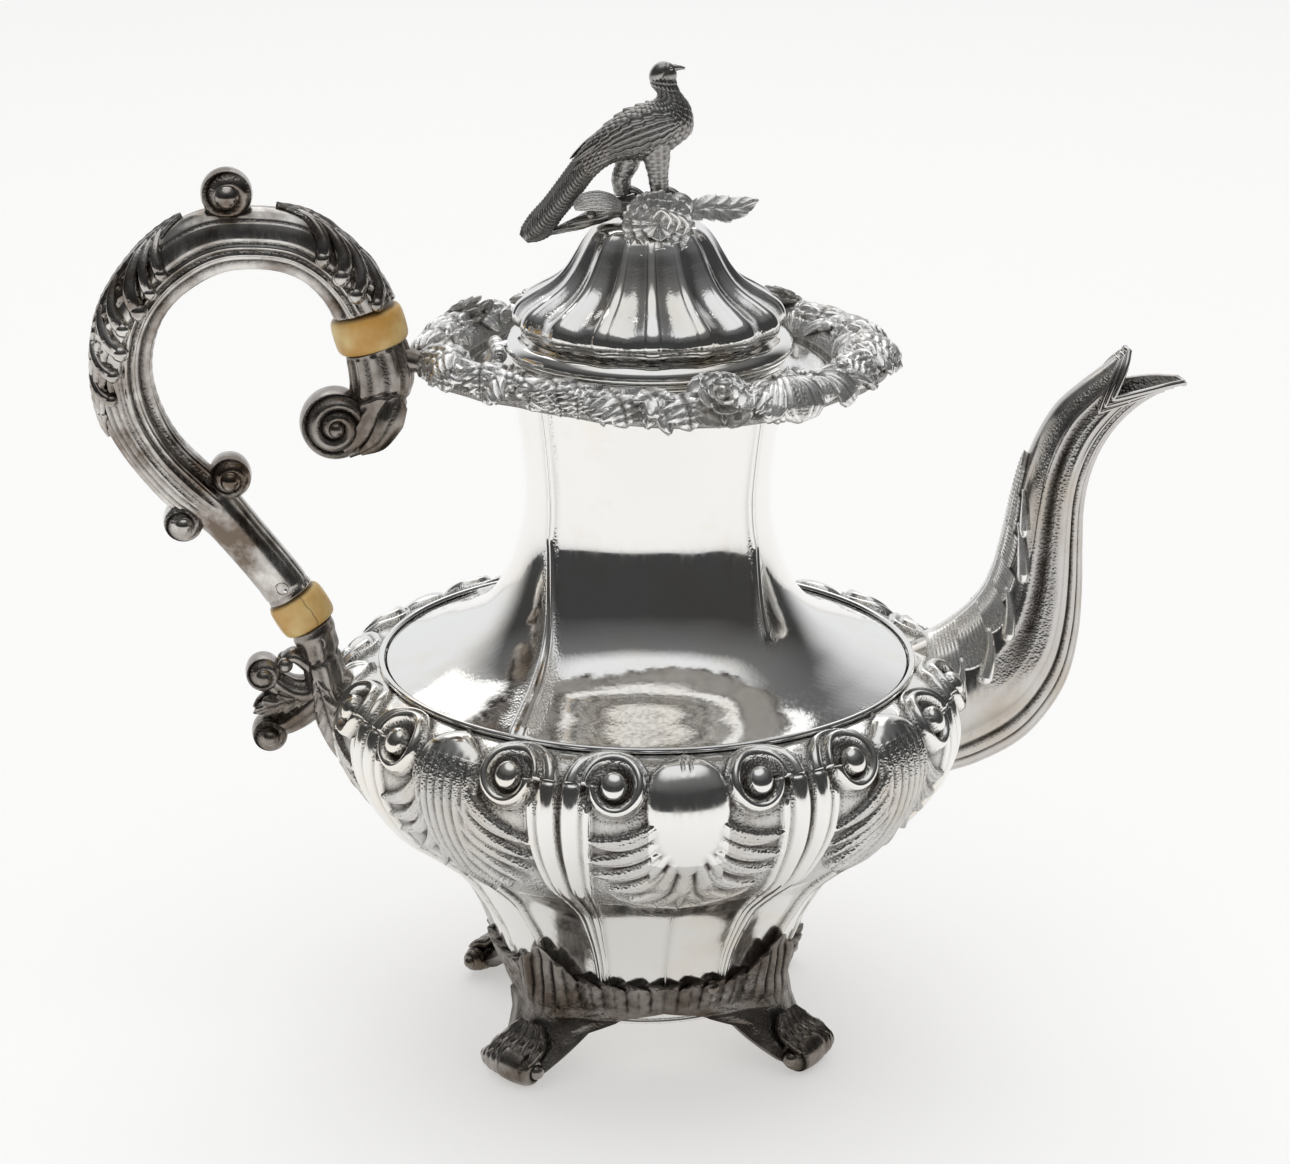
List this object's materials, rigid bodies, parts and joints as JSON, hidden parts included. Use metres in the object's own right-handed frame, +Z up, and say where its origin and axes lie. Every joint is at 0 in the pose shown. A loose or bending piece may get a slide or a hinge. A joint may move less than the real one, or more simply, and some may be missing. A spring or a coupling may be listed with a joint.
{
  "type": "coffee pot",
  "caption": "Ornate footed silver pot with a hinged fluted lid, bird finial, curved spout and an insulated scroll handle, for serving hot drinks.",
  "frame": {"origin": "on the table, on the pot's turning axis, midway between handle and spout tips", "axes": "+X towards the spout, -X towards the handle, -Y the front face, +Z up"},
  "size_m": [0.2811, 0.1652, 0.2597],
  "materials": {
    "silver": "polished silver with light wear",
    "oxidised_silver": "cast and chased silver, darkened in the recesses",
    "ivory": "aged ivory, semi-gloss"
  },
  "bodies": {
    "pot": {"body_lower": "silver", "body_upper": "silver", "shoulder_wire": "silver", "base_plate": "silver", "collar_plate": "silver", "collar_border": "silver", "mouth_ring": "silver", "hinge_knuckle_front": "silver", "hinge_knuckle_rear": "silver", "hinge_pin": "silver", "spout": "silver", "spout_root_leaf": "silver", "foot_front_left": "oxidised_silver", "foot_front_right": "oxidised_silver", "foot_rear_right": "oxidised_silver", "foot_rear_left": "oxidised_silver", "handle_grip": "oxidised_silver", "handle_upper_socket": "oxidised_silver", "handle_lower_socket": "oxidised_silver", "handle_upper_socket_pin": "oxidised_silver", "handle_upper_grip_pin": "oxidised_silver", "handle_lower_socket_pin": "oxidised_silver", "handle_lower_grip_pin": "oxidised_silver", "handle_upper_insulator": "ivory", "handle_lower_insulator": "ivory"},
    "lid": {"lid_flange": "silver", "lid_bezel": "silver", "lid_dome": "silver", "lid_knuckle": "silver", "finial_nut": "silver", "finial_bird": "oxidised_silver", "finial_branch": "oxidised_silver", "finial_flower": "oxidised_silver", "finial_leaf_left": "oxidised_silver", "finial_leaf_right": "oxidised_silver"}
  },
  "joints": [
    {"name": "lid_hinge", "type": "hinge", "parent": "pot", "child": "lid", "pos_m": [-0.0386, 0, 0.1876], "axis": [0, -1, 0], "range_deg": [0, 65]}
  ]
}
